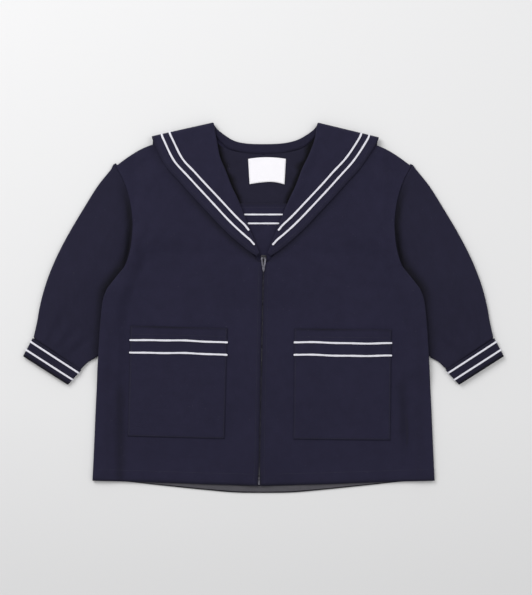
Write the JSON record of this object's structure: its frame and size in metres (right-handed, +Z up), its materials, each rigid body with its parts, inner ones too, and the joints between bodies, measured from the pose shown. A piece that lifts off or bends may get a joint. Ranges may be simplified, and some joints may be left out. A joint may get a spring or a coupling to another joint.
{
  "type": "sailor jacket",
  "caption": "Navy sailor jacket laid flat, zipped front, square-flap sailor collar, patch pockets and cuffs trimmed with pairs of white tapes.",
  "frame": {"origin": "centre of the jacket's outline as it lies, on the surface it rests on", "axes": "+Z up out of the front of the jacket, +Y towards the neck, +X towards the wearer's left sleeve"},
  "size_m": [0.6778, 0.5244, 0.0115],
  "materials": {
    "navy cloth": "twill",
    "white tape": "woven tape",
    "label white": "satin weave",
    "zip tape navy": "woven tape",
    "silver metal": "worn satin",
    "black metal": "satin enamel"
  },
  "bodies": {
    "jacket": {"back": "navy cloth", "collar": "navy cloth", "collar_tape_inner": "white tape", "collar_tape_outer": "white tape", "cuff_left": "navy cloth", "cuff_right": "navy cloth", "cuff_tape_left_1": "white tape", "cuff_tape_left_2": "white tape", "cuff_tape_right_1": "white tape", "cuff_tape_right_2": "white tape", "dickey": "navy cloth", "dickey_tape_1": "white tape", "dickey_tape_2": "white tape", "front_left": "navy cloth", "front_right": "navy cloth", "label": "label white", "pocket_left": "navy cloth", "pocket_right": "navy cloth", "pocket_tape_left_1": "white tape", "pocket_tape_left_2": "white tape", "pocket_tape_right_1": "white tape", "pocket_tape_right_2": "white tape", "sleeve_left": "navy cloth", "sleeve_right": "navy cloth", "zip_box": "silver metal", "zip_chain": "silver metal", "zip_slider": "black metal", "zip_tape_left": "zip tape navy", "zip_tape_right": "zip tape navy"},
    "pull_tab": {"zip_pull_tab": "silver metal"}
  },
  "joints": [
    {"name": "pull_hinge", "type": "hinge", "parent": "jacket", "child": "pull_tab", "pos_m": [0, 0.0717, 0.00745], "axis": [-1, 0, 0], "range_deg": [0, 150]}
  ]
}
